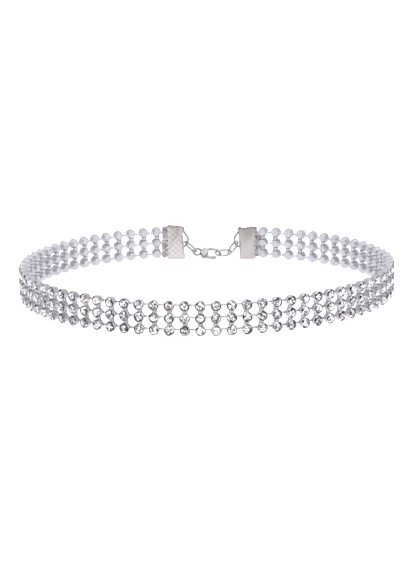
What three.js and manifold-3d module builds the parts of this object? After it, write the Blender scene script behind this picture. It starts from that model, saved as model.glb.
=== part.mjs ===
// A choker necklace: three rows of cut stones in cups, soldered side by side, with a toothed
// crimp on each end, three jump rings and a lobster clasp. It is fastened and stands on its edge.
// Millimetres, +Z up. The stones' front is at -Y and the clasp at +Y. The origin is under the
// middle of the loop's outline, on the surface that it stands on.
import * as THREE from 'three';
import { mergeVertices } from 'three/addons/utils/BufferGeometryUtils.js';
import Module from 'manifold-3d';

const wasm = await Module();
wasm.setup();

// The loop seen from above: its radius, and the waves that make it a little wider than deep
const LOOP_RADIUS = 51.5;
const LOOP_WAVES = [
  { waves: 2, cosine: -2.35, sine: -0.1 },
  { waves: 3, cosine: 0.05, sine: -0.3 },
  { waves: 4, cosine: 0.18, sine: 0.12 },
];
const LOOP_STEPS = 1440;
const HEADING_STEP = 1e-4;

// The cup chain
const ROWS = 3;
const ROW_PITCH = 3.45;
const COLUMN_PITCH = 4.268;
const COLUMNS_EACH_SIDE = 34;
const MIDDLE_COLUMN_ALONG = -1.59;
const CUP_SIDES = 10;
const CUP_HEIGHT = 3.0;
const CUP_RADIUS = CUP_HEIGHT / 2 / Math.cos(Math.PI / CUP_SIDES);
const CUP_BACK = -1.035;
const CUP_RIM = 0.5;
const TABLE_FACE = 1.035;
const TABLE_RADIUS = 0.78;
const RIGHT_CORNER = 0;
const LEFT_CORNER = CUP_SIDES / 2;
const TOP_FLAT = 2;
const BOTTOM_FLAT = 7;

// The links between cups, and the tabs of the last ones inside the crimps
const LINK_DEPTH = 0.7;
const LINK_SPREAD = 0.47;
const LINK_HALF_HEIGHT = 0.45;
const PIECE_GAP = 0.3;

// The end crimps: a plate folded over the tabs, with teeth along its mouth and a wire eye
const CRIMP = { length: 5.2, height: 10.5, thickness: 2.6, plate: 0.58, corner: 0.45 };
const TOOTH = { count: 7, depth: 0.6, width: 0.7, beyond: 1 };
const CRIMP_EYE = { reach: 1.6, halfHeight: 2.1, centreHeight: 5.8, wire: 0.6, root: 0.3 };
const EYE_STEPS = 6;
const TAB_INSIDE = 1.5;
const LEFT_CRIMP = { fold: -7.1, across: 47.3, mouthSide: -1 };
const RIGHT_CRIMP = { fold: 10.7, across: 45.9, mouthSide: 1 };

// The jump rings: places, and which way their axes turn (round Z) and rise (above level)
const RING_WIRE = 0.66;
const RING_WIRE_SIDES = 5;
const RING_SIDES = 10;
const JUMP_RINGS = [
  { name: 'jump_ring_clasp', radius: 2.4, x: -4.73, y: 46.86, z: 3.59, turn: 27.7, rise: 40.6 },
  { name: 'jump_ring_end', radius: 2.4, x: 8.61, y: 45.92, z: 3.35, turn: -168.3, rise: 36.8 },
  { name: 'jump_ring_hooked', radius: 2.55, x: 5.62, y: 46.08, z: 1.71, turn: 94, rise: 57.1 },
];

// The lobster clasp: a hook plate with an eye, a hinge block with two cheeks, and a sprung lever
const CLASP_PLACE = { x: 0.58, y: 45.58, z: 1.9, turn: -6.3, roll: 41, pitch: -5.4 };
const OVAL_SIDES = 14;
const HOOK = { centre: 1.6, halfLength: 2.45, halfWidth: 1.62, arm: 0.86, halfThickness: 0.5 };
const EYE = { centre: -3.25, radius: 1.25, arm: 0.7, sides: 10, halfThickness: 0.35 };
const CHEEK_OUTLINE = [
  [-2.1, -0.6], [-1.6, -1.5], [-0.6, -1.8], [0, -1.2], [0, 0.6], [-0.6, 1.35], [-1.5, 1.2], [-2.1, 0.6],
];
const CHEEK_HALF_THICKNESS = 0.9;
const PIVOT = [-0.95, -1.1];
const PIN = { radius: 0.26, sides: 8, halfLength: 0.85 };
const SLOT = { radius: 1.12, sides: 10, halfThickness: 0.6 };
const SLOT_OUTLINE = [[-0.95, -2.4], [0.6, -2.4], [0.6, -0.3], [-0.95, -0.3]];
const MOUTH_OUTLINE = [[-0.6, -3], [3.45, -3], [3.45, -0.75], [-0.6, -0.75]];
const THROUGH = 2;
const LEVER = {
  hubRadius: 0.85, hubSides: 10, boreRadius: 0.54, hubHalfThickness: 0.3, armHalfThickness: 0.45,
};
const LEVER_HUB_OUTLINE = [[-0.9, -1.7], [0.9, -1.9], [0.9, -1.0], [-0.9, -0.6]];
const LEVER_THUMB_OUTLINE = [[-1.5, -1.5], [-1.35, -2.15], [-0.75, -2.15], [-0.4, -1.6]];
const LEVER_ARM_OUTLINE = [
  [0.35, -1.95], [1.6, -2.05], [2.5, -1.85], [3.15, -1.5], [3.0, -1.05], [1.6, -1.2], [0.35, -1.05],
];

const degrees = (value) => value * Math.PI / 180;

// Corners of one solid that are closer than this are one corner
const WELD_DISTANCE = 1e-4;

// The colours of the finishes
const STONE_AND_CUP = new THREE.MeshStandardMaterial({ color: 0xd9dce2, roughness: 0.15, metalness: 0.8 });
const CRIMP_METAL = new THREE.MeshStandardMaterial({ color: 0xc4bfbd, roughness: 0.4, metalness: 0.9 });
const RING_METAL = new THREE.MeshStandardMaterial({ color: 0xcfcfd2, roughness: 0.2, metalness: 1.0 });
const CLASP_METAL = new THREE.MeshStandardMaterial({ color: 0xc9c9cc, roughness: 0.25, metalness: 1.0 });

// A closed surface put together point by point, with shared corners
class Surface {
  constructor() {
    this.points = [];
    this.triangles = [];
  }

  point(place) {
    this.points.push(place.x, place.y, place.z);
    return this.points.length / 3 - 1;
  }

  // A flat polygon, its corners counter-clockwise as seen from outside
  face(corners) {
    for (let i = 1; i < corners.length - 1; i += 1) {
      this.triangles.push(corners[0], corners[i], corners[i + 1]);
    }
  }

  geometry() {
    const result = new THREE.BufferGeometry();
    result.setAttribute('position', new THREE.Float32BufferAttribute(this.points, 3));
    result.setIndex(this.triangles);
    return result;
  }
}

// The loop as an arc length table
function loopPoint(angle) {
  let radius = LOOP_RADIUS;
  for (const { waves, cosine, sine } of LOOP_WAVES) {
    radius += cosine * Math.cos(waves * angle) + sine * Math.sin(waves * angle);
  }
  return new THREE.Vector2(radius * Math.sin(angle), -radius * Math.cos(angle));
}

function measureLoop() {
  const lengths = [0];
  let total = 0;
  let last = loopPoint(0);
  for (let i = 1; i <= LOOP_STEPS; i += 1) {
    const next = loopPoint(2 * Math.PI * i / LOOP_STEPS);
    total += next.distanceTo(last);
    lengths.push(total);
    last = next;
  }
  return lengths;
}

const LOOP_LENGTHS = measureLoop();

function angleAlong(distance) {
  const total = LOOP_LENGTHS[LOOP_STEPS];
  const wrapped = ((distance % total) + total) % total;
  const step = LOOP_LENGTHS.findIndex((length) => length > wrapped) - 1;
  const part = (wrapped - LOOP_LENGTHS[step]) / (LOOP_LENGTHS[step + 1] - LOOP_LENGTHS[step]);
  return 2 * Math.PI * (step + part) / LOOP_STEPS;
}

// The place of one column: its middle line, the way along the loop, up, and the way out
function columnFrame(column) {
  const angle = angleAlong(MIDDLE_COLUMN_ALONG + column * COLUMN_PITCH);
  const middle = loopPoint(angle);
  const ahead = loopPoint(angle + HEADING_STEP).sub(middle).normalize();
  return standingFrame(middle.x, middle.y, ahead);
}

function standingFrame(x, y, ahead) {
  return {
    middle: new THREE.Vector3(x, y, 0),
    along: new THREE.Vector3(ahead.x, ahead.y, 0),
    up: new THREE.Vector3(0, 0, 1),
    out: new THREE.Vector3(ahead.y, -ahead.x, 0),
  };
}

function placeIn(frame, along, up, out) {
  return frame.middle.clone()
    .addScaledVector(frame.along, along)
    .addScaledVector(frame.up, up)
    .addScaledVector(frame.out, out);
}

const rowHeight = (row) => CUP_HEIGHT / 2 + row * ROW_PITCH;

// The corners where a link leaves a cup: a notch cut off the cup's back corner
function linkRoot(surface, frame, height, corner) {
  const angle = corner * 2 * Math.PI / CUP_SIDES;
  const side = Math.cos(angle);
  const slope = Math.PI * (0.5 + 1 / CUP_SIDES);
  const inward = side * LINK_SPREAD * Math.cos(slope);
  const rise = LINK_SPREAD * Math.sin(slope);
  const tip = side * CUP_RADIUS;
  return {
    front: surface.point(placeIn(frame, tip, height, CUP_BACK + LINK_DEPTH)),
    up: surface.point(placeIn(frame, tip + inward, height + rise, CUP_BACK)),
    down: surface.point(placeIn(frame, tip + inward, height - rise, CUP_BACK)),
  };
}

function ring(surface, frame, height, radius, out) {
  const corners = [];
  for (let i = 0; i < CUP_SIDES; i += 1) {
    const angle = i * 2 * Math.PI / CUP_SIDES;
    const along = radius * Math.cos(angle);
    const up = height + radius * Math.sin(angle);
    corners.push(surface.point(placeIn(frame, along, up, out)));
  }
  return corners;
}

// One cup with its cut stone. Flats that a solder neck covers are left open for it.
function cup(surface, frame, row, links) {
  const height = rowHeight(row);
  const back = ring(surface, frame, height, CUP_RADIUS, CUP_BACK);
  const rim = ring(surface, frame, height, CUP_RADIUS, CUP_RIM);
  const table = ring(surface, frame, height, TABLE_RADIUS, TABLE_FACE);
  const roots = {};
  if (links.right) roots[RIGHT_CORNER] = linkRoot(surface, frame, height, RIGHT_CORNER);
  if (links.left) roots[LEFT_CORNER] = linkRoot(surface, frame, height, LEFT_CORNER);
  // Going round, a link's root takes the place of the back corner
  const before = (i) => (roots[i] ? (i === RIGHT_CORNER ? roots[i].down : roots[i].up) : back[i]);
  const after = (i) => (roots[i] ? (i === RIGHT_CORNER ? roots[i].up : roots[i].down) : back[i]);
  const backFace = [];
  for (let i = 0; i < CUP_SIDES; i += 1) {
    const next = (i + 1) % CUP_SIDES;
    surface.face([rim[i], rim[next], table[next], table[i]]);
    backFace.push(before(i));
    if (roots[i]) backFace.push(after(i));
    const neckAbove = i === TOP_FLAT && row < ROWS - 1;
    const neckBelow = i === BOTTOM_FLAT && row > 0;
    if (neckAbove || neckBelow) continue;
    const side = [after(i), before(next)];
    if (roots[next]) side.push(roots[next].front);
    side.push(rim[next], rim[i]);
    if (roots[i]) side.push(roots[i].front);
    surface.face(side);
  }
  surface.face(table);
  surface.face(backFace.reverse());
  return { back, rim, left: roots[LEFT_CORNER], right: roots[RIGHT_CORNER] };
}

// The solder between a cup and the one above it
function solderNeck(surface, lower, upper) {
  const [right, left] = [TOP_FLAT, TOP_FLAT + 1];
  const [upperLeft, upperRight] = [BOTTOM_FLAT, BOTTOM_FLAT + 1];
  surface.face([lower.rim[left], lower.rim[right], upper.rim[upperRight], upper.rim[upperLeft]]);
  surface.face([lower.back[right], lower.back[left], upper.back[upperLeft], upper.back[upperRight]]);
  surface.face([lower.rim[right], lower.back[right], upper.back[upperRight], upper.rim[upperRight]]);
  surface.face([lower.back[left], lower.rim[left], upper.rim[upperLeft], upper.back[upperLeft]]);
}

// A three-sided link bar from one cup to the next
function linkBar(surface, start, end) {
  surface.face([start.down, start.up, end.up, end.down]);
  surface.face([start.front, end.front, end.up, start.up]);
  surface.face([start.down, end.down, end.front, start.front]);
}

// A link bar's free end, in a frame of its own
function linkEnd(surface, frame, along, height, backFace) {
  return {
    front: surface.point(placeIn(frame, along, height, backFace + LINK_DEPTH)),
    up: surface.point(placeIn(frame, along, height + LINK_HALF_HEIGHT, backFace)),
    down: surface.point(placeIn(frame, along, height - LINK_HALF_HEIGHT, backFace)),
  };
}

// Where the tabs end: inside the crimp's mouth, on its middle plane
function crimpTabFrame(place) {
  const mouth = place.fold + place.mouthSide * CRIMP.length;
  const tabEnd = mouth - place.mouthSide * TAB_INSIDE;
  return standingFrame(tabEnd, place.across, new THREE.Vector2(-1, 0));
}

// Half of the necklace: its columns, and the tabs that its far end puts into the crimp
function chainHalf(firstColumn, lastColumn, crimpPlace) {
  const surface = new Surface();
  const tabFrame = crimpTabFrame(crimpPlace);
  const tabsAtStart = crimpPlace.mouthSide < 0;
  let previous = null;
  for (let column = firstColumn; column <= lastColumn; column += 1) {
    const frame = columnFrame(column);
    const links = { left: tabsAtStart || column > firstColumn, right: true };
    const cups = [];
    for (let row = 0; row < ROWS; row += 1) {
      cups.push(cup(surface, frame, row, links));
      if (row > 0) solderNeck(surface, cups[row - 1], cups[row]);
      if (previous) linkBar(surface, previous[row].right, cups[row].left);
      const height = rowHeight(row);
      if (tabsAtStart && column === firstColumn) {
        const tab = linkEnd(surface, tabFrame, 0, height, -LINK_DEPTH / 2);
        surface.face([tab.front, tab.up, tab.down]);
        linkBar(surface, tab, cups[row].left);
      }
      if (column === lastColumn) {
        const tab = tabsAtStart
          ? linkEnd(surface, frame, COLUMN_PITCH - CUP_RADIUS - PIECE_GAP, height, CUP_BACK)
          : linkEnd(surface, tabFrame, 0, height, -LINK_DEPTH / 2);
        linkBar(surface, cups[row].right, tab);
        surface.face([tab.down, tab.up, tab.front]);
      }
    }
    previous = cups;
  }
  return surface.geometry();
}

// Joining and cutting
function solid(geometry) {
  const bare = geometry.clone();
  bare.deleteAttribute('normal');
  bare.deleteAttribute('uv');
  const merged = mergeVertices(bare, WELD_DISTANCE);
  return new wasm.Manifold(new wasm.Mesh({
    numProp: 3,
    vertProperties: new Float32Array(merged.attributes.position.array),
    triVerts: new Uint32Array(merged.index.array),
  }));
}

function surfaceOf(body) {
  const mesh = body.getMesh();
  const result = new THREE.BufferGeometry();
  result.setAttribute('position', new THREE.BufferAttribute(new Float32Array(mesh.vertProperties), 3));
  result.setIndex(Array.from(mesh.triVerts));
  return result;
}

function extruded(outline, depth, holes = []) {
  const shape = new THREE.Shape(outline.map(([x, y]) => new THREE.Vector2(x, y)));
  shape.holes = holes;
  return new THREE.ExtrudeGeometry(shape, { depth, bevelEnabled: false, curveSegments: 6 });
}

// The wire eye that stands out of a crimp's fold: half an oval with its ends in the plate
class EyeCurve extends THREE.Curve {
  getPoint(t, target = new THREE.Vector3()) {
    const angle = Math.PI * (t - 0.5);
    const { reach, halfHeight, centreHeight, root } = CRIMP_EYE;
    const out = (reach + root) * Math.cos(angle) - root;
    return target.set(-out, 0, centreHeight + halfHeight * Math.sin(angle));
  }
}

function crimpEye() {
  const wire = new THREE.Shape();
  wire.absarc(0, 0, CRIMP_EYE.wire / 2, 0, 2 * Math.PI);
  return new THREE.ExtrudeGeometry(wire, {
    extrudePath: new EyeCurve(), steps: EYE_STEPS, bevelEnabled: false, curveSegments: 3,
  });
}

// A crimp with its fold at x = 0 and its mouth towards +X
function crimp() {
  const { length, height, thickness, plate, corner } = CRIMP;
  const outer = thickness / 2;
  const inner = outer - plate;
  const body = solid(extruded([
    [0, -outer + corner], [corner, -outer], [length, -outer], [length, -inner], [plate, -inner],
    [plate, inner], [length, inner], [length, outer], [corner, outer], [0, outer - corner],
  ], height));
  const spacing = height / TOOTH.count;
  let toothed = body.add(solid(crimpEye()));
  for (let i = 0; i <= TOOTH.count; i += 1) {
    const middle = i * spacing;
    const notch = extruded([
      [length - TOOTH.depth, -middle],
      [length + TOOTH.beyond, -middle - TOOTH.width],
      [length + TOOTH.beyond, -middle + TOOTH.width],
    ], thickness + 2 * TOOTH.beyond);
    notch.rotateX(-Math.PI / 2);
    notch.translate(0, -outer - TOOTH.beyond, 0);
    toothed = toothed.subtract(solid(notch));
  }
  return surfaceOf(toothed);
}

// The clasp lies in a frame of its own: x from its eye to its nose, y across, z its thickness
function oval(halfLength, halfWidth) {
  const path = new THREE.Path();
  path.absellipse(HOOK.centre, 0, halfLength, halfWidth, 0, 2 * Math.PI, false, 0);
  return path.getSpacedPoints(OVAL_SIDES).slice(0, -1).map((point) => [point.x, point.y]);
}

function plate(outline, halfThickness, hole = null) {
  const holes = hole ? [new THREE.Path(hole.map(([x, y]) => new THREE.Vector2(x, y)))] : [];
  const geometry = extruded(outline, 2 * halfThickness, holes);
  geometry.translate(0, 0, -halfThickness);
  return solid(geometry);
}

function disc(centre, radius, sides) {
  return Array.from({ length: sides }, (_, i) => {
    const angle = 2 * Math.PI * (i + 0.5) / sides;
    return [centre[0] + radius * Math.cos(angle), centre[1] + radius * Math.sin(angle)];
  });
}

function claspBody() {
  const hookRing = plate(
    oval(HOOK.halfLength + HOOK.arm / 2, HOOK.halfWidth + HOOK.arm / 2), HOOK.halfThickness,
    oval(HOOK.halfLength - HOOK.arm / 2, HOOK.halfWidth - HOOK.arm / 2),
  );
  const eyeRing = plate(
    disc([EYE.centre, 0], EYE.radius + EYE.arm / 2, EYE.sides), EYE.halfThickness,
    disc([EYE.centre, 0], EYE.radius - EYE.arm / 2, EYE.sides),
  );
  const slot = plate(disc(PIVOT, SLOT.radius, SLOT.sides), SLOT.halfThickness)
    .add(plate(SLOT_OUTLINE, SLOT.halfThickness));
  const mouth = plate(MOUTH_OUTLINE, THROUGH);
  const cheeks = plate(CHEEK_OUTLINE, CHEEK_HALF_THICKNESS);
  const pin = plate(disc(PIVOT, PIN.radius, PIN.sides), PIN.halfLength);
  const hook = hookRing.subtract(mouth);
  return surfaceOf(hook.add(eyeRing).add(cheeks).subtract(slot).add(pin));
}

function claspLever() {
  const hub = plate(disc(PIVOT, LEVER.hubRadius, LEVER.hubSides), LEVER.hubHalfThickness)
    .add(plate(LEVER_HUB_OUTLINE, LEVER.hubHalfThickness))
    .add(plate(LEVER_THUMB_OUTLINE, LEVER.hubHalfThickness));
  const arm = plate(LEVER_ARM_OUTLINE, LEVER.armHalfThickness);
  const bore = plate(disc(PIVOT, LEVER.boreRadius, PIN.sides), THROUGH);
  return surfaceOf(hub.add(arm).subtract(bore));
}

function jumpRing({ radius }) {
  return new THREE.TorusGeometry(radius, RING_WIRE / 2, RING_WIRE_SIDES, RING_SIDES);
}

// Putting it together
const necklace = new THREE.Group();

function addPiece(group, name, geometry, material) {
  const piece = new THREE.Mesh(geometry, material);
  piece.name = name;
  group.add(piece);
  return piece;
}

addPiece(necklace, 'stone_rows_left', chainHalf(-COLUMNS_EACH_SIDE, -1, LEFT_CRIMP), STONE_AND_CUP);
addPiece(necklace, 'stone_rows_right', chainHalf(0, COLUMNS_EACH_SIDE, RIGHT_CRIMP), STONE_AND_CUP);

for (const [name, place] of [['crimp_left', LEFT_CRIMP], ['crimp_right', RIGHT_CRIMP]]) {
  const piece = addPiece(necklace, name, crimp(), CRIMP_METAL);
  piece.position.set(place.fold, place.across, 0);
  piece.rotation.z = place.mouthSide < 0 ? Math.PI : 0;
}

for (const jump of JUMP_RINGS) {
  const piece = addPiece(necklace, jump.name, jumpRing(jump), RING_METAL);
  piece.position.set(jump.x, jump.y, jump.z);
  piece.rotation.set(0, degrees(90 - jump.rise), degrees(jump.turn), 'ZYX');
}

const clasp = new THREE.Group();
clasp.position.set(CLASP_PLACE.x, CLASP_PLACE.y, CLASP_PLACE.z);
clasp.rotation.set(degrees(CLASP_PLACE.roll), degrees(-CLASP_PLACE.pitch), degrees(CLASP_PLACE.turn), 'ZYX');
addPiece(clasp, 'clasp_body', claspBody(), CLASP_METAL);
addPiece(clasp, 'clasp_lever', claspLever(), CLASP_METAL);
necklace.add(clasp);

// The origin goes under the middle of the outline
necklace.updateMatrixWorld(true);
const outline = new THREE.Box3().setFromObject(necklace, true);
const middle = outline.getCenter(new THREE.Vector3());
necklace.position.set(-middle.x, -middle.y, -outline.min.z);

export default necklace;
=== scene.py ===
import math
import bisect
import bpy
import bmesh
import numpy as np
from mathutils import Matrix, Vector


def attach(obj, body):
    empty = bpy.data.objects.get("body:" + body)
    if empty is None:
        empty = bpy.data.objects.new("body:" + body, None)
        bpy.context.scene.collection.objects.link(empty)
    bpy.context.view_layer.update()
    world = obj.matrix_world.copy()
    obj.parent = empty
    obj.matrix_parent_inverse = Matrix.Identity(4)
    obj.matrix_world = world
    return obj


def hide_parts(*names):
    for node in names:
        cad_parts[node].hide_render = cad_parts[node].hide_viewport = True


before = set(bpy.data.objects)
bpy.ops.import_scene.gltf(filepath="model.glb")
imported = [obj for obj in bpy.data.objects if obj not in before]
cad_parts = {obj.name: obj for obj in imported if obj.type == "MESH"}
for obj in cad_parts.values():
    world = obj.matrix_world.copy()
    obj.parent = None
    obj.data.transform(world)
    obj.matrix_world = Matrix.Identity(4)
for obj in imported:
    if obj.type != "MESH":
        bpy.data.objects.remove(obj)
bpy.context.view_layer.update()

# Pieces are modelled in millimetres and placed in metres
MM = 0.001
BODY = "necklace"
LEVER_BODY = "lever"

# The loop, and where the model's origin lies in the loop's own plan
LOOP_RADIUS = 51.5
LOOP_WAVES = [(2, -2.35, -0.1), (3, 0.05, -0.3), (4, 0.18, 0.12)]
LOOP_STEPS = 1440
HEADING_STEP = 1e-4
PLAN_SHIFT = Vector((-0.299, 0.505, 0))

# The cup chain
ROW_NAMES = ["bottom", "middle", "top"]
ROW_PITCH = 3.45
COLUMN_PITCH = 4.268
MIDDLE_COLUMN_ALONG = -1.59
COLUMNS = range(-34, 35)
CUP_FLAT = 1.5
CUP_SIDES = 12
CUP_RADIUS = CUP_FLAT / math.cos(math.pi / CUP_SIDES)
CUP_BACK = -1.035
CUP_RIM = 0.85
CUP_TAPER = 0.9
BACK_EDGE = {"inset": 0.42, "depth": 0.55}
RIM_WIDTH = 0.09
GROOVE_DEPTH = 0.26
CLAW = {"turn": 30, "height": 0.2, "bend": 0.88}
SOLDER = {"radius": 0.8, "overlap": 0.5, "waist": (0.97, 1, 0.85), "out": -0.3}
LINK = {"radius": 0.36, "flatness": 0.7, "waist": (1.3, 0.72, 0.72), "out": -0.76, "reach": 1.12}

# The cut stones, and the painted shade that darkens the facets of their girdles
TABLE_RADIUS = 0.86
TABLE_FACE = 1.25
STAR_INSET = 0.34
SHOULDER_HEIGHT = 1.07
GIRDLE_RADIUS = 1.34
GIRDLE_HEIGHT = 0.78
GIRDLE_THICKNESS = 0.12
STONE_TIP = 1.5
GIRDLE_FROM = 1.12
GIRDLE_PAINTED_SHADE_BASE = 0.1
GIRDLE_PAINTED_SHADE_SPREAD = 0.25

# The crimps, the jump rings and the clasp
# Each crimp's dark tab is painted shade along its mouth
LEFT_CRIMP = {
    "name": "left", "fold": -7.1, "across": 47.3, "mouth_side": -1,
    "painted_shade_tab": (1.3, 6.2, 10.2), "bright_tab": (1.5, 0.5, 6.0),
    "drops": [(0.75, 4.1, 0.95), (0.25, 2.7, 0.6), (0.8, 1.2, 0.9)],
    "slant": {"fold_top": (0.5, -0.4), "fold_bottom": (-0.4, 0), "mouth_top": (0, 0)},
}
RIGHT_CRIMP = {
    "name": "right", "fold": 10.7, "across": 45.9, "mouth_side": 1,
    "painted_shade_tab": (0.35, 0.5, 10.0), "bright_tab": (0.9, 1.2, 8.6),
    "drops": [(0.75, 6.6, 0.8), (0.7, 3.4, 0.85), (0.5, 1.1, 0.6)],
    "slant": {"fold_top": (0, -1.1), "fold_bottom": (0.3, 0), "mouth_top": (0, -0.5)},
}
CRIMP_LENGTH = 5.2
CRIMP_HEIGHT = 10.5
CRIMP_THICKNESS = 2.6
CRIMP_SHEET = 0.5
TOOTH_COUNT = 7
TOOTH_DEPTH = 0.55
FOLD_RADIUS = 0.85
TAB_INSIDE = 1.5
EYE_WIRE = 0.62
KNURL_SLANT = 48
JUMP_RINGS = [
    {"name": "clasp", "radius": 2.4, "place": (-4.73, 46.86, 3.59), "turn": 27.7, "rise": 40.6},
    {"name": "end", "radius": 2.4, "place": (8.61, 45.92, 3.35), "turn": -168.3, "rise": 36.8},
    {"name": "hooked", "radius": 2.55, "place": (5.62, 46.08, 1.71), "turn": 94, "rise": 57.1},
]
RING_WIRE = 0.66
CLASP_PLACE = {"place": (0.58, 45.58, 1.9), "turn": -6.3, "roll": 41, "pitch": -5.4}
HOOK = {"centre": 1.6, "half_length": 2.45, "half_width": 1.62, "arm": 0.86, "flattening": 1.12}
CLASP_EYE = {"centre": -3.25, "radius": 1.25, "wire": 0.7}
CHEEK_OUTLINE = [
    (-2.15, -0.5), (-1.75, -1.35), (-1.2, -1.75), (-0.6, -1.8), (-0.1, -1.4), (0.1, -0.6),
    (0.25, 0.3), (-0.1, 1.15), (-0.7, 1.4), (-1.5, 1.2), (-2.15, 0.6), (-2.35, 0.05),
]
CHEEK_HALF_THICKNESS = 0.9
PIVOT = (-0.95, -1.1)
SLOT_RADIUS = 1.12
SLOT_HALF_THICKNESS = 0.6
SLOT_OUTLINE = [(-1.3, -2.6), (0.9, -2.6), (0.9, -0.3), (-0.95, -0.3)]
PIN_RADIUS = 0.26
RIVET_RADIUS = 0.42
LEVER_OUTLINE = [
    (-1.8, -1.1), (-1.69, -0.68), (-1.37, -0.36), (-0.95, -0.25), (-0.53, -0.36), (-0.21, -0.69),
    (0.35, -0.98), (1.6, -1.2), (3.0, -1.05), (3.15, -1.5), (2.5, -1.85), (1.6, -2.05), (0.35, -1.95),
    (-0.4, -1.8), (-0.75, -2.15), (-1.35, -2.15), (-1.5, -1.75),
]
LEVER_HALF_THICKNESS = 0.36
LEVER_BORE = 0.5

# The camera that the stones' places in the photograph give
CAMERA_PLACE = Vector((0.58, -632.4, 154.0))
CAMERA_DOWN = 13.639
CAMERA_ROLL = -0.778
CAMERA_LENS = 136.05

# The direction of the dark opening in the white tent, through which the camera looks
FRONT_OPENING = (0, -0.97, 0.24)

# The width of one band of a wave texture whose scale is 1
WAVE_BAND = math.pi / 10

rng = np.random.default_rng(7)


def linear(code):
    """An sRGB hex colour as linear RGBA"""
    channels = [int(code[i:i + 2], 16) / 255 for i in (1, 3, 5)]
    return [c / 12.92 if c <= 0.04045 else ((c + 0.055) / 1.055) ** 2.4 for c in channels] + [1.0]


def add_node(tree, kind, values=None, links=None, **settings):
    """Adds a node with its settings, its sockets' values and its links"""
    made = tree.nodes.new(kind)
    for name, value in settings.items():
        setattr(made, name, value)
    for socket, value in (values or {}).items():
        made.inputs[socket].default_value = value
    for socket, source in (links or {}).items():
        tree.links.new(source, made.inputs[socket])
    return made


def set_ramp(ramp_node, stops):
    """Gives a colour ramp its stops: places and hex colours"""
    ramp = ramp_node.color_ramp
    while len(ramp.elements) < len(stops):
        ramp.elements.new(0.5)
    for element, (place, colour) in zip(ramp.elements, stops):
        element.position = place
        element.color = linear(colour)


def new_material(name):
    """A material with a Principled shader, and its node tree"""
    material = bpy.data.materials.new(name)
    material.use_nodes = True
    return material, material.node_tree, material.node_tree.nodes["Principled BSDF"]


# Plated or bare white metal, as cast, drawn or tumbled: a mirror or satin shine with slight waviness, and
# blotches of a darker tone where it has worn or tarnished
def bright_silver_plate(name, colour, shade_colour, roughness, blotch_mm, bump_mm):
    material, tree, shader = new_material(name)
    shader.inputs["Metallic"].default_value = 1.0
    place = add_node(tree, "ShaderNodeTexCoord")
    blotches = add_node(
        tree, "ShaderNodeTexNoise", {"Scale": 1 / (blotch_mm * MM), "Detail": 3.0, "Roughness": 0.6},
        {"Vector": place.outputs["Object"]},
    )
    colours = add_node(tree, "ShaderNodeValToRGB", links={"Fac": blotches.outputs["Fac"]})
    set_ramp(colours, [(0.38, shade_colour), (0.58, colour)])
    finish = add_node(
        tree, "ShaderNodeMapRange", {"To Min": roughness * 1.3, "To Max": roughness * 0.75},
        {"Value": blotches.outputs["Fac"]},
    )
    waves = add_node(
        tree, "ShaderNodeBump", {"Strength": 0.35, "Distance": bump_mm * MM},
        {"Height": blotches.outputs["Fac"]},
    )
    tree.links.new(colours.outputs["Color"], shader.inputs["Base Color"])
    tree.links.new(finish.outputs["Result"], shader.inputs["Roughness"])
    tree.links.new(waves.outputs["Normal"], shader.inputs["Normal"])
    return material


# Clear lead glass, cut and polished, with a mirror foil behind, under a clear gloss: each facet's light or
# dark is painted into its colour as a painted reflection, with a painted pink or yellow fire about a stone
# wide
def foiled_crystal():
    material, tree, shader = new_material("foiled_crystal")
    shader.inputs["Metallic"].default_value = 0.85
    shader.inputs["Roughness"].default_value = 0.06
    shader.inputs["Coat Weight"].default_value = 0.4
    shader.inputs["Coat Roughness"].default_value = 0.02
    shader.inputs["Coat IOR"].default_value = 1.56
    # Painted reflection: each facet's light or dark comes from its attribute
    tone = add_node(tree, "ShaderNodeAttribute", attribute_name="facet_painted_sparkle")
    colours = add_node(tree, "ShaderNodeValToRGB", links={"Fac": tone.outputs["Fac"]})
    set_ramp(
        colours,
        [(0.0, "#1d1d1f"), (0.2, "#4c4c50"), (0.42, "#9c9ca1"), (0.62, "#d6d6da"), (1.0, "#f6f6f8")],
    )
    place = add_node(tree, "ShaderNodeTexCoord")
    # Painted fire: a faint pink or yellow tint, about one stone wide, multiplied into the colour
    painted_fire = add_node(
        tree, "ShaderNodeTexNoise", {"Scale": 1 / (2.5 * MM), "Detail": 1.0},
        {"Vector": place.outputs["Object"]},
    )
    tints = add_node(tree, "ShaderNodeValToRGB", links={"Fac": painted_fire.outputs["Fac"]})
    set_ramp(tints, [(0.36, "#fff3f6"), (0.46, "#ffffff"), (0.56, "#ffffff"), (0.66, "#fff9ec")])
    tinted = add_node(
        tree, "ShaderNodeMix", {"Factor": 1.0},
        {"A": colours.outputs["Color"], "B": tints.outputs["Color"]},
        data_type="RGBA", blend_type="MULTIPLY",
    )
    tree.links.new(tinted.outputs["Result"], shader.inputs["Base Color"])
    return material


def pressed_ribs(tree, place, rib_mm, slant):
    """Ribs across a sheet at a slant, from 0 in their furrows to 1 on their crests"""
    turned = add_node(
        tree, "ShaderNodeMapping", {"Rotation": (0, math.radians(slant), 0)},
        {"Vector": place.outputs["Object"]},
    )
    ribs = add_node(
        tree, "ShaderNodeTexWave", {"Scale": WAVE_BAND / (rib_mm * MM)},
        {"Vector": turned.outputs["Vector"]}, bands_direction="X",
    )
    return ribs.outputs["Fac"]
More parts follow.
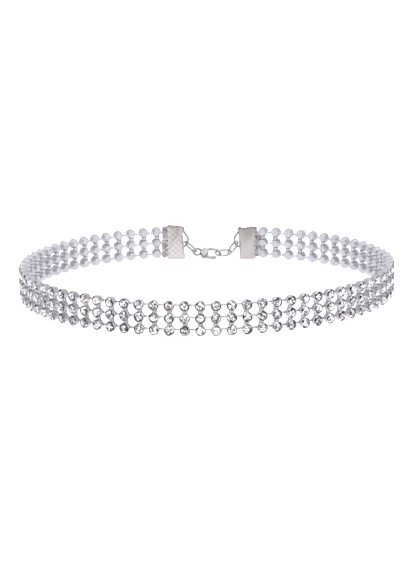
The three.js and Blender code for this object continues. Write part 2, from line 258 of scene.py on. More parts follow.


# Silver-plated steel sheet, pressed with a knurl: raised lozenges or ribs that shine softly, with painted
# shade in the furrows, where the colour darkens with the relief
def knurled_plate(name, rib_mm, slants, furrow_painted_shade, crest):
    material, tree, shader = new_material(name)
    shader.inputs["Metallic"].default_value = 0.8
    place = add_node(tree, "ShaderNodeTexCoord")
    reliefs = [pressed_ribs(tree, place, rib_mm, slant) for slant in slants]
    relief = reliefs[0]
    if len(reliefs) > 1:
        crossed = add_node(tree, "ShaderNodeMath", links=dict(enumerate(reliefs)), operation="MINIMUM")
        relief = crossed.outputs["Value"]
    # Painted shade: the colour darkens from the crests down into the furrows
    colours = add_node(tree, "ShaderNodeValToRGB", links={"Fac": relief})
    set_ramp(colours, [(0.0, furrow_painted_shade), (0.3, crest)])
    grain = add_node(
        tree, "ShaderNodeTexNoise", {"Scale": 1 / (0.4 * MM), "Detail": 4.0},
        {"Vector": place.outputs["Object"]},
    )
    finish = add_node(
        tree, "ShaderNodeMapRange", {"To Min": 0.36, "To Max": 0.54}, {"Value": grain.outputs["Fac"]},
    )
    pressed = add_node(
        tree, "ShaderNodeBump", {"Strength": 0.4, "Distance": 0.07 * MM}, {"Height": relief},
    )
    tree.links.new(colours.outputs["Color"], shader.inputs["Base Color"])
    tree.links.new(finish.outputs["Result"], shader.inputs["Roughness"])
    tree.links.new(pressed.outputs["Normal"], shader.inputs["Normal"])
    return material


# Jeweller's glue, yellowed: a glossy amber drop with cloudy parts
def aged_glue():
    material, tree, shader = new_material("aged_glue")
    shader.inputs["Roughness"].default_value = 0.35
    shader.inputs["Transmission Weight"].default_value = 0.5
    place = add_node(tree, "ShaderNodeTexCoord")
    cloud = add_node(
        tree, "ShaderNodeTexNoise", {"Scale": 1 / (0.8 * MM), "Detail": 2.0},
        {"Vector": place.outputs["Object"]},
    )
    colours = add_node(tree, "ShaderNodeValToRGB", links={"Fac": cloud.outputs["Fac"]})
    set_ramp(colours, [(0.38, "#b8a894"), (0.62, "#d9d0c4")])
    tree.links.new(colours.outputs["Color"], shader.inputs["Base Color"])
    return material


# White background paper, matt and evenly lit
def seamless_paper():
    material, tree, shader = new_material("seamless_paper")
    shader.inputs["Roughness"].default_value = 0.9
    shader.inputs["Base Color"].default_value = linear("#f7f7f7")
    shader.inputs["Emission Color"].default_value = linear("#ffffff")
    shader.inputs["Emission Strength"].default_value = 0.6
    return material


# Selecting and editing
def clear_selection():
    if bpy.context.object and bpy.context.object.mode != "OBJECT":
        bpy.ops.object.mode_set(mode="OBJECT")
    bpy.ops.object.select_all(action="DESELECT")


def make_active(piece):
    clear_selection()
    piece.select_set(True)
    bpy.context.view_layer.objects.active = piece


def begin_edit(name):
    """Names the new primitive and opens it in edit mode, with nothing selected"""
    piece = bpy.context.object
    piece.name = name
    make_active(piece)
    bpy.ops.object.transform_apply(location=True, rotation=True, scale=True)
    bpy.ops.object.mode_set(mode="EDIT")
    bpy.ops.mesh.select_all(action="DESELECT")
    return piece


def pick_faces(piece, wanted):
    """Selects the faces whose middle and normal are wanted, and no others"""
    bpy.ops.mesh.select_mode(type="FACE")
    bpy.ops.mesh.select_all(action="DESELECT")
    mesh = bmesh.from_edit_mesh(piece.data)
    for face in mesh.faces:
        face.select_set(wanted(face.calc_center_median(), face.normal))
    bmesh.update_edit_mesh(piece.data)


def pick_edges(piece, wanted):
    """Selects the edges whose two ends are wanted, and no others"""
    bpy.ops.mesh.select_mode(type="EDGE")
    bpy.ops.mesh.select_all(action="DESELECT")
    mesh = bmesh.from_edit_mesh(piece.data)
    for edge in mesh.edges:
        edge.select_set(wanted(edge.verts[0].co, edge.verts[1].co))
    bmesh.update_edit_mesh(piece.data)


def pick_points(piece, wanted):
    """Selects the points whose place is wanted, and no others"""
    bpy.ops.mesh.select_mode(type="VERT")
    bpy.ops.mesh.select_all(action="DESELECT")
    mesh = bmesh.from_edit_mesh(piece.data)
    for point in mesh.verts:
        point.select_set(wanted(point.co))
    bmesh.update_edit_mesh(piece.data)


def end_edit(piece, smooth_angle=40):
    """Leaves edit mode, mends the normals and smooths the faces that meet gently"""
    bpy.ops.mesh.select_mode(type="VERT")
    bpy.ops.mesh.select_all(action="SELECT")
    bpy.ops.mesh.normals_make_consistent(inside=False)
    bpy.ops.object.mode_set(mode="OBJECT")
    make_active(piece)
    if smooth_angle:
        bpy.ops.object.shade_smooth_by_angle(angle=math.radians(smooth_angle))
    return piece


def near(value, target, within=0.02):
    return abs(value - target) < within


def add_modifier(piece, kind, **settings):
    """Adds a modifier, applies it and leaves the piece active"""
    make_active(piece)
    modifier = piece.modifiers.new(kind.title(), kind)
    for name, value in settings.items():
        setattr(modifier, name, value)
    bpy.ops.object.modifier_apply(modifier=modifier.name)


def placed_copy(model, place):
    """A copy of a model with a mesh of its own, which holds its place"""
    twin = bpy.data.objects.new(model.name, model.data.copy())
    bpy.context.scene.collection.objects.link(twin)
    twin.data.transform(place)
    return twin


def joined(name, pieces):
    clear_selection()
    for piece in pieces:
        piece.select_set(True)
    bpy.context.view_layer.objects.active = pieces[0]
    if len(pieces) > 1:
        bpy.ops.object.join()
    result = bpy.context.view_layer.objects.active
    result.name = name
    return result


def discard(model):
    mesh = model.data
    bpy.data.objects.remove(model)
    bpy.data.meshes.remove(mesh)


def hand_in(piece, body, nodes):
    """Ties a finished piece to its body and the solids that it stands for"""
    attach(piece, body)
    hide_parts(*nodes)


# The loop's plan
def loop_point(angle):
    radius = LOOP_RADIUS
    for waves, cosine, sine in LOOP_WAVES:
        radius += cosine * math.cos(waves * angle) + sine * math.sin(waves * angle)
    return Vector((radius * math.sin(angle), -radius * math.cos(angle), 0))


def measure_loop():
    lengths = [0.0]
    for i in range(LOOP_STEPS):
        step = loop_point(2 * math.pi * (i + 1) / LOOP_STEPS) - loop_point(2 * math.pi * i / LOOP_STEPS)
        lengths.append(lengths[-1] + step.length)
    return lengths


LOOP_LENGTHS = measure_loop()


def angle_along(distance):
    wrapped = distance % LOOP_LENGTHS[-1]
    step = bisect.bisect_right(LOOP_LENGTHS, wrapped) - 1
    part = (wrapped - LOOP_LENGTHS[step]) / (LOOP_LENGTHS[step + 1] - LOOP_LENGTHS[step])
    return 2 * math.pi * (step + part) / LOOP_STEPS


def frame_matrix(middle, along, up, out):
    """A place whose x runs along the band, y up and z out of its front"""
    matrix = Matrix.Identity(4)
    for column, axis in enumerate((along, up, out, middle)):
        for row in range(3):
            matrix[row][column] = axis[row]
    return matrix


def column_place(column):
    angle = angle_along(MIDDLE_COLUMN_ALONG + column * COLUMN_PITCH)
    middle = loop_point(angle)
    along = (loop_point(angle + HEADING_STEP) - middle).normalized()
    out = Vector((along.y, -along.x, 0))
    return frame_matrix(middle + PLAN_SHIFT, along, Vector((0, 0, 1)), out)


def row_height(row):
    return CUP_FLAT + row * ROW_PITCH


COLUMN_PLACES = {column: column_place(column) for column in COLUMNS}
TO_METRES = Matrix.Scale(MM, 4)


def cup_seat(column, row):
    """Where a cup sits: the place of its column, lifted to its row"""
    return COLUMN_PLACES[column] @ Matrix.Translation((0, row_height(row), 0))


# One cup: a drawn tube with a rounded back edge, a thin rim and four claws bent over the stone
def model_cup(plate, satin_plate, groove_painted_shade):
    depth = CUP_RIM - CUP_BACK
    half_side = math.pi / CUP_SIDES
    bpy.ops.mesh.primitive_cylinder_add(
        vertices=CUP_SIDES, radius=CUP_RADIUS, depth=depth, location=(0, 0, (CUP_RIM + CUP_BACK) / 2),
        rotation=(0, 0, half_side),
    )
    cup = begin_edit("cup")
    pick_faces(cup, lambda middle, normal: normal.z < -0.9)
    bpy.ops.mesh.inset(thickness=BACK_EDGE["inset"])
    pick_points(cup, lambda place: near(place.z, CUP_BACK) and place.xy.length > CUP_RADIUS - 0.1)
    bpy.ops.transform.translate(value=(0, 0, BACK_EDGE["depth"]))
    bpy.ops.transform.resize(value=(CUP_TAPER, CUP_TAPER, 1), center_override=(0, 0, 0))
    pick_faces(cup, lambda middle, normal: normal.z > 0.9)
    bpy.ops.mesh.inset(thickness=RIM_WIDTH)
    bpy.ops.mesh.extrude_region_move(TRANSFORM_OT_translate={"value": (0, 0, -GROOVE_DEPTH)})
    pick_faces(cup, lambda middle, normal: normal.z > 0.9 and is_claw_place(middle))
    bpy.ops.mesh.extrude_region_move(TRANSFORM_OT_translate={"value": (0, 0, CLAW["height"])})
    bpy.ops.transform.resize(value=(CLAW["bend"], CLAW["bend"], 1), center_override=(0, 0, 0))
    end_edit(cup, smooth_angle=45)
    cup.data.materials.append(plate)
    cup.data.materials.append(satin_plate)
    cup.data.materials.append(groove_painted_shade)
    for face in cup.data.polygons:
        face.material_index = cup_finish(face)
    return cup


def cup_finish(face):
    """A cup face's material: bright on the rim, satin on the walls and back, painted shade in the groove"""
    faces_out = face.normal.xy.dot(face.center.xy) > 0.01
    # The groove's inner faces take the near-black painted shade
    if 0 < face.center.z < CUP_RIM - 0.02 and not faces_out:
        return 2
    return 1 if face.normal.z < 0.3 else 0


def is_claw_place(middle):
    """True on the rim at the four places between the links and the solder"""
    angle = math.degrees(math.atan2(middle.y, middle.x)) % 90
    return middle.xy.length > CUP_FLAT - 0.2 and near(angle, CLAW["turn"], 5)


# One cut stone: table, star facets, main facets and girdle facets, as the hull of four rings
def model_stone(crystal):
    slope = (GIRDLE_RADIUS - TABLE_RADIUS) / (TABLE_FACE - GIRDLE_HEIGHT)
    shoulder_radius = (TABLE_RADIUS + slope * (TABLE_FACE - SHOULDER_HEIGHT)) / math.cos(math.pi / 8)
    rings = [
        (8, TABLE_RADIUS, TABLE_FACE, 0),
        (8, shoulder_radius, SHOULDER_HEIGHT, 22.5),
        (16, GIRDLE_RADIUS, GIRDLE_HEIGHT, 0),
        (16, GIRDLE_RADIUS, GIRDLE_HEIGHT - GIRDLE_THICKNESS, 0),
    ]
    bpy.ops.mesh.primitive_circle_add(
        vertices=rings[0][0], radius=rings[0][1], location=(0, 0, rings[0][2]),
    )
    stone = begin_edit("stone")
    for sides, radius, height, turn in rings[1:]:
        bpy.ops.mesh.primitive_circle_add(
            vertices=sides, radius=radius, location=(0, 0, height), rotation=(0, 0, math.radians(turn)),
        )
    bpy.ops.mesh.select_all(action="SELECT")
    bpy.ops.mesh.convex_hull(join_triangles=True, face_threshold=math.radians(2), shape_threshold=math.pi)
    pick_faces(stone, lambda middle, normal: normal.z > 0.99)
    bpy.ops.mesh.inset(thickness=STAR_INSET)
    bpy.ops.mesh.poke()
    end_edit(stone, smooth_angle=0)
    stone.data.materials.append(crystal)
    return stone


# The solder between two rows: a waisted neck whose ends lie inside the cups' walls
def model_solder(solder_metal):
    gap = ROW_PITCH - 2 * CUP_FLAT
    bpy.ops.mesh.primitive_cylinder_add(
        vertices=10, radius=SOLDER["radius"], depth=gap + SOLDER["overlap"], rotation=(math.pi / 2, 0, 0),
    )
    solder = begin_edit("solder")
    pick_edges(solder, lambda one, other: one.y * other.y < 0)
    bpy.ops.mesh.subdivide(number_cuts=1)
    pick_points(solder, lambda place: near(place.y, 0))
    bpy.ops.transform.resize(value=SOLDER["waist"])
    end_edit(solder, smooth_angle=60)
    solder.data.materials.append(solder_metal)
    return solder


# A link of the chain: a flat pin, broader where its ends go into the cups; 1 mm long as modelled
def model_link(link_metal):
    bpy.ops.mesh.primitive_cylinder_add(
        vertices=6, radius=LINK["radius"], depth=1.0, rotation=(0, math.pi / 2, 0),
    )
    link = begin_edit("link")
    pick_edges(link, lambda one, other: one.x * other.x < 0)
    bpy.ops.mesh.subdivide(number_cuts=2)
    pick_points(link, lambda place: abs(place.x) < 0.3)
    bpy.ops.transform.resize(value=LINK["waist"])
    bpy.ops.mesh.select_all(action="SELECT")
    bpy.ops.transform.resize(value=(1, 1, LINK["flatness"]))
    end_edit(link, smooth_angle=60)
    link.data.materials.append(link_metal)
    return link


def link_place(start, end):
    """A link from one point to another, lying flat against the band"""
    along = end - start
    across = Vector((0, 0, 1))
    out = along.normalized().cross(across)
    up = out.cross(along.normalized())
    place = frame_matrix((start + end) / 2, along, up, out)
    return TO_METRES @ place


# The rows of cups, stones and links
def paint_facet_sparkle(stones):
    """Gives each facet its own painted light or dark, a painted reflection, with some stones darker and
    some lighter as a whole
    """
    mesh = stones.data
    middles = np.empty(len(mesh.polygons) * 3)
    mesh.polygons.foreach_get("center", middles)
    per_stone = len(mesh.polygons) // len(COLUMNS)
    tones = rng.random((len(COLUMNS), per_stone))
    darkness = rng.uniform(0.8, 1.5, (len(COLUMNS), 1))
    tones = (tones ** darkness).ravel()
    reach = distance_from_axis(middles.reshape(-1, 3), len(COLUMNS))
    # The girdle facets are darkened as painted shade, for the dark gap beside the rim
    in_girdle_painted_shade = reach > GIRDLE_FROM * MM
    tones[in_girdle_painted_shade] = GIRDLE_PAINTED_SHADE_BASE + GIRDLE_PAINTED_SHADE_SPREAD * tones[in_girdle_painted_shade]
    attribute = mesh.attributes.new("facet_painted_sparkle", "FLOAT", "FACE")
    attribute.data.foreach_set("value", tones)


def distance_from_axis(places, count):
    """How far each facet's middle lies from its own stone's axis, seen along the stone's table"""
    stones = places.reshape(count, -1, 3)
    offsets = stones - stones.mean(axis=1, keepdims=True)
    return np.linalg.norm(offsets, axis=2).ravel()


def lay_cups_and_stones(row, cup, stone):
    """A cup and a stone at each column of a row, each stone turned and tipped its own way"""
    cups = []
    stones = []
    for column in COLUMNS:
        seat = cup_seat(column, row)
        cups.append(placed_copy(cup, TO_METRES @ seat))
        spin = Matrix.Rotation(rng.uniform(0, math.pi / 4), 4, "Z")
        tip = Matrix.Rotation(math.radians(rng.normal(0, STONE_TIP)), 4, "X")
        stones.append(placed_copy(stone, TO_METRES @ seat @ tip @ spin))
    return cups, stones


def lay_solder(row, solder):
    """A solder neck below each cup of a row"""
    down = Matrix.Translation((0, -ROW_PITCH / 2, SOLDER["out"]))
    return [placed_copy(solder, TO_METRES @ cup_seat(column, row) @ down) for column in COLUMNS]


def lay_links(row, link):
    """The links between the cups of a row, and those from its last cups into the crimps"""
    leaving = Vector((LINK["reach"], 0, LINK["out"]))
    arriving = Vector((-LINK["reach"], 0, LINK["out"]))
    spans = [
        (cup_seat(column, row) @ leaving, cup_seat(column + 1, row) @ arriving) for column in COLUMNS[:-1]
    ]
    for crimp, column in ((LEFT_CRIMP, COLUMNS[0]), (RIGHT_CRIMP, COLUMNS[-1])):
        side = crimp["mouth_side"]
        start = cup_seat(column, row) @ (leaving if side > 0 else arriving)
        mouth = crimp["fold"] + side * CRIMP_LENGTH
        end = Vector((mouth - side * TAB_INSIDE, crimp["across"], row_height(row))) + PLAN_SHIFT
        spans.append((start, end))
    return [placed_copy(link, link_place(start, end)) for start, end in spans]


def lay_rows(plate, satin_plate, groove_painted_shade, crystal, solder_metal, link_metal):
    cup = model_cup(plate, satin_plate, groove_painted_shade)
    stone = model_stone(crystal)
    solder = model_solder(solder_metal)
    link = model_link(link_metal)
    both_nodes = ["stone_rows_left", "stone_rows_right"]
    solders = []
    links = []
    for row, row_name in enumerate(ROW_NAMES):
        cups, stones = lay_cups_and_stones(row, cup, stone)
        if row > 0:
            solders += lay_solder(row, solder)
        links += lay_links(row, link)
        cup_row = joined(f"cups_{row_name}", cups)
        hand_in(cup_row, BODY, both_nodes)
        stone_row = joined(f"stones_{row_name}", stones)
        paint_facet_sparkle(stone_row)
        hand_in(stone_row, BODY, both_nodes)
    hand_in(joined("solder_necks", solders), BODY, both_nodes)
    hand_in(joined("chain_links", links), BODY, both_nodes)
    for model in (cup, stone, solder, link):
        discard(model)


# A crimp: sheet folded over the tabs, its mouth cut into teeth
def make_crimp(crimp, sheet):
    bpy.ops.mesh.primitive_cube_add(size=1, location=(0.5, 0, 0.5))
    piece = begin_edit(f"crimp_{crimp['name']}_sheet")
    bpy.ops.mesh.select_all(action="SELECT")
    bpy.ops.transform.resize(
        value=(CRIMP_LENGTH, CRIMP_THICKNESS - CRIMP_SHEET, CRIMP_HEIGHT), center_override=(0, 0, 0),
    )
    pick_faces(piece, lambda middle, normal: abs(normal.z) > 0.9 or normal.x > 0.9)
    bpy.ops.mesh.delete(type="FACE")
    pick_edges(piece, lambda one, other: near(one.x, 0) and near(other.x, 0) and near(one.y, other.y))
    bpy.ops.mesh.bevel(offset=FOLD_RADIUS, segments=5, affect="EDGES")
    pick_edges(piece, lambda one, other: near(one.x, CRIMP_LENGTH) and near(other.x, CRIMP_LENGTH))
    bpy.ops.mesh.subdivide(number_cuts=2 * TOOTH_COUNT - 1)
    step = CRIMP_HEIGHT / (2 * TOOTH_COUNT)
    pick_points(piece, lambda place: near(place.x, CRIMP_LENGTH) and round(place.z / step) % 2 == 0)
    bpy.ops.transform.translate(value=(-TOOTH_DEPTH, 0, 0))
    end_edit(piece, smooth_angle=0)
    for point in piece.data.vertices:
        point.co += crimp_slant(crimp, point.co.x / CRIMP_LENGTH, point.co.z / CRIMP_HEIGHT)
    add_modifier(piece, "SOLIDIFY", thickness=CRIMP_SHEET, offset=0)
    add_modifier(piece, "BEVEL", width=0.1, segments=2, limit_method="ANGLE")
    bpy.ops.object.shade_smooth_by_angle(angle=math.radians(40))
    piece.data.materials.append(sheet)
    set_on_crimp(piece, crimp)


def crimp_slant(crimp, part_along, part_up):
    """How far the crimp's sheet is bent out of square, at a part of its length and of its height"""
    slant = crimp["slant"]
    fold_top, fold_bottom, mouth_top = (Vector((x, 0, z)) for x, z in slant.values())
    at_fold = fold_top * part_up + fold_bottom * (1 - part_up)
    return at_fold * (1 - part_along) + mouth_top * part_along * part_up


def crimp_place(crimp):
    half_turn = Matrix.Rotation(math.pi, 4, "Z") if crimp["mouth_side"] < 0 else Matrix.Identity(4)
    middle = Vector((crimp["fold"], crimp["across"], 0)) + PLAN_SHIFT
    return Matrix.Translation(middle) @ half_turn


def set_on_crimp(piece, crimp):
    """Puts a piece, modelled with x from the fold to the mouth, in its place on a crimp"""
    piece.data.transform(TO_METRES @ crimp_place(crimp))
    hand_in(piece, BODY, [f"crimp_{crimp['name']}"])


# A wire that follows points, as a round tube with closed ends
def make_wire(name, points, diameter, metal, widths=None):
    curve = bpy.data.curves.new(name, "CURVE")
    curve.dimensions = "3D"
    curve.bevel_depth = diameter / 2
    curve.bevel_resolution = 3
    curve.resolution_u = 6
    curve.use_fill_caps = True
    spline = curve.splines.new("BEZIER")
    spline.bezier_points.add(len(points) - 1)
    for knot, point, width in zip(spline.bezier_points, points, widths or [1] * len(points)):
        knot.co = point
        knot.radius = width
        knot.handle_left_type = "AUTO"
        knot.handle_right_type = "AUTO"
    piece = bpy.data.objects.new(name, curve)
    bpy.context.scene.collection.objects.link(piece)
    make_active(piece)
    bpy.ops.object.convert(target="MESH")
    piece = bpy.context.object
    piece.data.materials.append(metal)
    bpy.ops.object.shade_smooth_by_angle(angle=math.radians(50))
    return piece


def make_crimp_eye(crimp, wire_metal):
    """The wire that comes out of the fold's top corner and loops down to its middle"""
    points = [
        (0.5, 0, 9.9), (-0.12, 0, 9.6), (-0.25, 0, 8.6), (-0.75, 0, 7.75), (-1.4, 0, 6.8), (-1.6, 0, 5.8),
        (-1.3, 0, 4.6), (-0.6, 0, 3.85), (0.3, 0, 3.7),
    ]
    piece = make_wire(f"crimp_{crimp['name']}_eye", points, EYE_WIRE, wire_metal)
    set_on_crimp(piece, crimp)


def make_glue(crimp, glue):
    """Drops of glue where the tabs go into the mouth"""
    drops = []
    for i, (out, height, size) in enumerate(crimp["drops"]):
        bpy.ops.mesh.primitive_ico_sphere_add(
            subdivisions=3, radius=size, location=(CRIMP_LENGTH + out, 0, height),
        )
        drop = begin_edit("drop")
        bpy.ops.mesh.select_all(action="SELECT")
        bpy.ops.transform.resize(value=(0.85, 0.8, 1.25))
        bpy.ops.transform.vertex_random(offset=0.2, seed=i, normal=1.0)
        bpy.ops.mesh.vertices_smooth(factor=0.5, repeat=2)
        end_edit(drop, smooth_angle=80)
        drops.append(drop)
    piece = joined(f"crimp_{crimp['name']}_glue", drops)
    piece.data.materials.append(glue)
    set_on_crimp(piece, crimp)


def make_inner_tab(crimp, kind, thickness, metal):
    """A tab that comes out of the mouth: the bright one is the end of a tab inside, the dark one is painted
    shade along the mouth
    """
    out, bottom, top = crimp[kind]
    bpy.ops.mesh.primitive_cube_add(size=1, location=(CRIMP_LENGTH + (out - 1) / 2, 0, (bottom + top) / 2))
    piece = begin_edit(f"crimp_{crimp['name']}_{kind}")
    bpy.ops.mesh.select_all(action="SELECT")
    bpy.ops.transform.resize(value=(out + 1, thickness, top - bottom))
    end_edit(piece, smooth_angle=0)
    add_modifier(piece, "BEVEL", width=thickness / 4, segments=3)
    bpy.ops.object.shade_smooth_by_angle(angle=math.radians(40))
    piece.data.materials.append(metal)
    set_on_crimp(piece, crimp)


# The jump rings: round wire bent to a circle, its two cut ends pressed together
def make_jump_ring(ring, wire_metal):
    bpy.ops.mesh.primitive_torus_add(
        major_radius=ring["radius"], minor_radius=RING_WIRE / 2, major_segments=64, minor_segments=12,
    )
    piece = begin_edit(f"jump_ring_{ring['name']}_wire")
    seam = 2 * math.pi / 64
    pick_faces(piece, lambda middle, normal: abs(math.atan2(middle.y, middle.x) - seam / 2) < seam / 4)
    bpy.ops.mesh.delete(type="FACE")
    pick_edges(piece, lambda one, other: near(one.y, 0, 1e-4) and near(other.y, 0, 1e-4) and one.x > 0)
    bpy.ops.transform.rotate(value=-seam * 0.42, orient_axis="Z", center_override=(0, 0, 0))
    bpy.ops.mesh.select_all(action="SELECT")
    bpy.ops.mesh.fill_holes(sides=0)
    end_edit(piece, smooth_angle=50)
    piece.data.materials.append(wire_metal)
    place = Matrix.Translation(Vector(ring["place"]) + PLAN_SHIFT)
    turn = Matrix.Rotation(math.radians(ring["turn"]), 4, "Z")
    rise = Matrix.Rotation(math.radians(90 - ring["rise"]), 4, "Y")
    piece.data.transform(TO_METRES @ place @ turn @ rise)
    hand_in(piece, BODY, [f"jump_ring_{ring['name']}"])


# The clasp, modelled flat: x from its eye to its nose, y across, z its thickness
def clasp_place():
    middle = Matrix.Translation(Vector(CLASP_PLACE["place"]) + PLAN_SHIFT)
    turn = Matrix.Rotation(math.radians(CLASP_PLACE["turn"]), 4, "Z")
    pitch = Matrix.Rotation(math.radians(-CLASP_PLACE["pitch"]), 4, "Y")
    roll = Matrix.Rotation(math.radians(CLASP_PLACE["roll"]), 4, "X")
    return middle @ turn @ pitch @ roll


def make_plate(name, outline, half_thickness, rounding):
    """A disc whose points are moved to an outline, pushed up to a plate, with rounded edges"""
    bpy.ops.mesh.primitive_circle_add(vertices=len(outline), radius=1, fill_type="NGON")
    piece = begin_edit(name)
    mesh = bmesh.from_edit_mesh(piece.data)
    for point, (x, y) in zip(mesh.verts, outline):
        point.co = (x, y, -half_thickness)
    bmesh.update_edit_mesh(piece.data)
    bpy.ops.mesh.select_all(action="SELECT")
    bpy.ops.mesh.extrude_region_move(TRANSFORM_OT_translate={"value": (0, 0, 2 * half_thickness)})
    end_edit(piece, smooth_angle=0)
    if rounding:
        add_modifier(piece, "BEVEL", width=rounding, segments=3, limit_method="ANGLE", angle_limit=0.7)
    return piece


def make_rod(name, radius, half_length, rounding=0.0):
    """A short rod on the lever's pivot"""
    bpy.ops.mesh.primitive_cylinder_add(
        vertices=24, radius=radius, depth=2 * half_length, location=(*PIVOT, 0),
    )
    piece = begin_edit(name)
    end_edit(piece, smooth_angle=0)
    if rounding:
        add_modifier(piece, "BEVEL", width=rounding, segments=3, limit_method="ANGLE")
    return piece


def cut_away(piece, cutter):
    add_modifier(piece, "BOOLEAN", operation="DIFFERENCE", object=cutter, solver="EXACT")
    discard(cutter)


def make_hook(metal):
    """The claw's arm, thick at the nose and thinner at its tip"""
    stops = [205, 180, 150, 120, 90, 60, 32, 8, -12, -27]
    widths = [0.95, 1.1, 1.1, 1.0, 0.95, 0.95, 1.02, 1.08, 1.0, 0.78]
    points = [
        (
            HOOK["centre"] + HOOK["half_length"] * math.cos(math.radians(stop)),
            HOOK["half_width"] * math.sin(math.radians(stop)),
            0,
        )
        for stop in stops
    ]
    hook = make_wire("hook", points, HOOK["arm"], metal, widths)
    hook.data.transform(Matrix.Diagonal((1, 1, HOOK["flattening"], 1)))
    return hook


def make_clasp(metal):
    block = make_plate("clasp_block", CHEEK_OUTLINE, CHEEK_HALF_THICKNESS, 0.3)
    cut_away(block, make_plate("slot", SLOT_OUTLINE, SLOT_HALF_THICKNESS, 0))
    cut_away(block, make_rod("slot_end", SLOT_RADIUS, SLOT_HALF_THICKNESS))
    rivet = make_rod("rivet", RIVET_RADIUS, CHEEK_HALF_THICKNESS + 0.1, 0.12)
    cut_away(rivet, make_rod("rivet_waist", RIVET_RADIUS * 2, SLOT_HALF_THICKNESS))
    pin = make_rod("pin", PIN_RADIUS, CHEEK_HALF_THICKNESS)
    bpy.ops.mesh.primitive_torus_add(
        major_radius=CLASP_EYE["radius"], minor_radius=CLASP_EYE["wire"] / 2, major_segments=40,
        minor_segments=12, location=(CLASP_EYE["centre"], 0, 0),
    )
    eye = begin_edit("clasp_eye")
    pick_points(eye, lambda place: place.x > CLASP_EYE["centre"] + CLASP_EYE["radius"] * 0.7)
    bpy.ops.transform.resize(value=(1, 1, 1.2), center_override=(CLASP_EYE["centre"], 0, 0))
    end_edit(eye)
    parts = [block, rivet, pin, eye]
    for part in parts:
        part.data.materials.clear()
        part.data.materials.append(metal)
    body = joined("clasp_hook_and_cheeks", [*parts, make_hook(metal)])
    make_active(body)
    bpy.ops.object.shade_smooth_by_angle(angle=math.radians(35))
    body.data.transform(TO_METRES @ clasp_place())
    hand_in(body, BODY, ["clasp_body"])


def make_clasp_lever(metal):
    lever = make_plate("clasp_lever_plate", LEVER_OUTLINE, LEVER_HALF_THICKNESS, 0.14)
    cut_away(lever, make_rod("lever_bore", LEVER_BORE, CHEEK_HALF_THICKNESS))
    lever.data.materials.append(metal)
    make_active(lever)
    bpy.ops.object.shade_smooth_by_angle(angle=math.radians(35))
    lever.data.transform(TO_METRES @ clasp_place())
    hand_in(lever, LEVER_BODY, ["clasp_lever"])


def light_softbox(name, place, aim, size, power):
    data = bpy.data.lights.new(name, "AREA")
    data.shape = "RECTANGLE"
    data.size, data.size_y = size
    data.energy = power
    lamp = bpy.data.objects.new(name, data)
    bpy.context.scene.collection.objects.link(lamp)
    lamp.location = place
    lamp.rotation_euler = (Vector(aim) - Vector(place)).to_track_quat("-Z", "Y").to_euler()


def set_studio():
    """A white tent with grey gaps and a dark opening in front, which the stones and the metal mirror"""
    world = bpy.data.worlds.new("studio")
    bpy.context.scene.world = world
    world.use_nodes = True
    tree = world.node_tree
    tree.nodes.clear()
    tent = tent_colours(tree)
    room = add_node(tree, "ShaderNodeBackground", {"Strength": 1.0}, {"Color": tent})
    paper = add_node(tree, "ShaderNodeBackground", {"Color": linear("#ffffff"), "Strength": 1.0})
    ray = add_node(tree, "ShaderNodeLightPath")
    sides = {0: ray.outputs["Is Camera Ray"], 1: room.outputs["Background"], 2: paper.outputs["Background"]}
    both = add_node(tree, "ShaderNodeMixShader", links=sides)
    add_node(tree, "ShaderNodeOutputWorld", links={"Surface": both.outputs["Shader"]})


def tent_colours(tree):
    """What each direction of the tent looks like in a mirror"""
    direction = add_node(tree, "ShaderNodeTexCoord")
    gaps = add_node(
        tree, "ShaderNodeTexNoise", {"Scale": 2.6, "Detail": 2.0, "Roughness": 0.55},
        {"Vector": direction.outputs["Generated"]},
    )
    tones = add_node(tree, "ShaderNodeValToRGB", links={"Fac": gaps.outputs["Fac"]})
    set_ramp(tones, [(0.36, "#a4a4a6"), (0.44, "#dadadc"), (0.52, "#ffffff")])
    towards_front = add_node(
        tree, "ShaderNodeVectorMath", {1: FRONT_OPENING}, {0: direction.outputs["Generated"]},
        operation="DOT_PRODUCT",
    )
    opening = add_node(
        tree, "ShaderNodeMapRange", {"From Min": 0.86, "From Max": 0.97},
        {"Value": towards_front.outputs["Value"]},
    )
    tent = add_node(
        tree, "ShaderNodeMix", {"B": linear("#5c5c60")},
        {"Factor": opening.outputs["Result"], "A": tones.outputs["Color"]}, data_type="RGBA",
    )
    return tent.outputs["Result"]


def light_studio():
    light_softbox("softbox_above", (0, -0.1, 0.7), (0, 0, 0), (0.9, 0.9), 2.4)
    light_softbox("softbox_left", (-0.6, -0.5, 0.35), (0, 0, 0), (0.5, 0.5), 0.4)
    light_softbox("softbox_right", (0.6, -0.4, 0.3), (0, 0, 0), (0.4, 0.5), 0.3)


def lay_floor():
    bpy.ops.mesh.primitive_grid_add(x_subdivisions=8, y_subdivisions=8, size=6, location=(0, 0, -0.0002))
    floor = bpy.context.object
    floor.name = "floor"
    floor.data.materials.append(seamless_paper())


def set_camera():
    data = bpy.data.cameras.new("camera")
    data.sensor_fit = "AUTO"
    data.sensor_width = 36
    data.lens = CAMERA_LENS
    data.clip_start = 0.01
    camera = bpy.data.objects.new("camera", data)
    bpy.context.scene.collection.objects.link(camera)
    place = Matrix.Translation((CAMERA_PLACE + PLAN_SHIFT) * MM)
    look = Matrix.Rotation(math.radians(90 - CAMERA_DOWN), 4, "X")
    roll = Matrix.Rotation(math.radians(CAMERA_ROLL), 4, "Z")
    camera.matrix_world = place @ look @ roll
    bpy.context.scene.camera = camera


set_camera()
clear_selection()

# Silver-plated brass, drawn and tumbled: the cups' rims and claws are bright mirrors
plate = bright_silver_plate("silver_plated_cup", "#dadade", "#b4b4ba", 0.16, 1.2, 0.03)
# The same plate as drawn: the cups' walls and backs are an even satin, faintly lilac
satin_plate = bright_silver_plate("satin_silver_back", "#c9c8cf", "#bfbec6", 0.52, 1.1, 0.08)
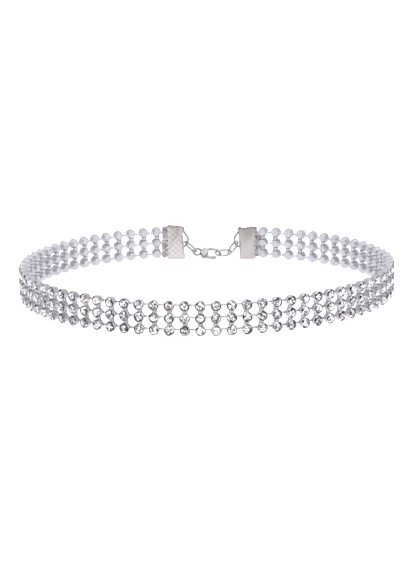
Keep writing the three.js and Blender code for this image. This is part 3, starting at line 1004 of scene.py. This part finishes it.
# Tin solder, run in hot: grey and half dull, a little lumpy
solder_metal = bright_silver_plate("tin_solder", "#c9c9ce", "#a6a6ad", 0.4, 0.5, 0.08)
# Silver-plated brass wire, drawn: the jump rings are bright and darker than the cups
wire_metal = bright_silver_plate("silver_plated_wire", "#b9b7b7", "#9a9797", 0.16, 0.9, 0.03)
# Painted shade: the groove between stone and rim is near black and dull, standing for the shade that falls
# into it
groove_painted_shade = bright_silver_plate("groove_painted_shade_metal", "#4a4a50", "#2a2a2e", 0.5, 0.5, 0.03)
# Zinc alloy, cast, tumbled and silver-plated: the clasp shines softly over shallow waves
clasp_metal = bright_silver_plate("silver_plated_casting", "#b2b0b0", "#939090", 0.16, 0.9, 0.05)
# Silver-plated brass pins, cut from wire: the chain's links are half bright
link_metal = bright_silver_plate("silver_plated_link", "#c4c4c9", "#a3a3a9", 0.3, 1.0, 0.03)
lay_rows(plate, satin_plate, groove_painted_shade, foiled_crystal(), solder_metal, link_metal)

left_sheet = knurled_plate("knurled_silver_sheet", 1.3, (-KNURL_SLANT, KNURL_SLANT), "#b9b3b1", "#cec8c6")
right_sheet = knurled_plate("ribbed_silver_sheet", 0.8, (-KNURL_SLANT,), "#aca7a5", "#bfbab8")
# Tinned steel wire, drawn: the crimps' eyes are greyer and less bright than silver
eye_metal = bright_silver_plate("tinned_steel_wire", "#9d9c9c", "#858484", 0.26, 0.6, 0.03)
# A dark grey tab put at the crimp's mouth as painted shade, where the sheets' edges and teeth lie in
# shadow: grey, blotched and dull
shade_tab_metal = bright_silver_plate("painted_shade_tab", "#b1afb3", "#868389", 0.45, 0.8, 0.05)
glue = aged_glue()
for crimp, sheet in ((LEFT_CRIMP, left_sheet), (RIGHT_CRIMP, right_sheet)):
    make_crimp(crimp, sheet)
    make_crimp_eye(crimp, eye_metal)
    make_glue(crimp, glue)
    make_inner_tab(crimp, "painted_shade_tab", 1.3, shade_tab_metal)
    make_inner_tab(crimp, "bright_tab", 0.7, satin_plate)
for ring in JUMP_RINGS:
    make_jump_ring(ring, wire_metal)
make_clasp(clasp_metal)
make_clasp_lever(clasp_metal)

set_studio()
light_studio()
lay_floor()
bpy.context.scene.view_settings.view_transform = "Standard"
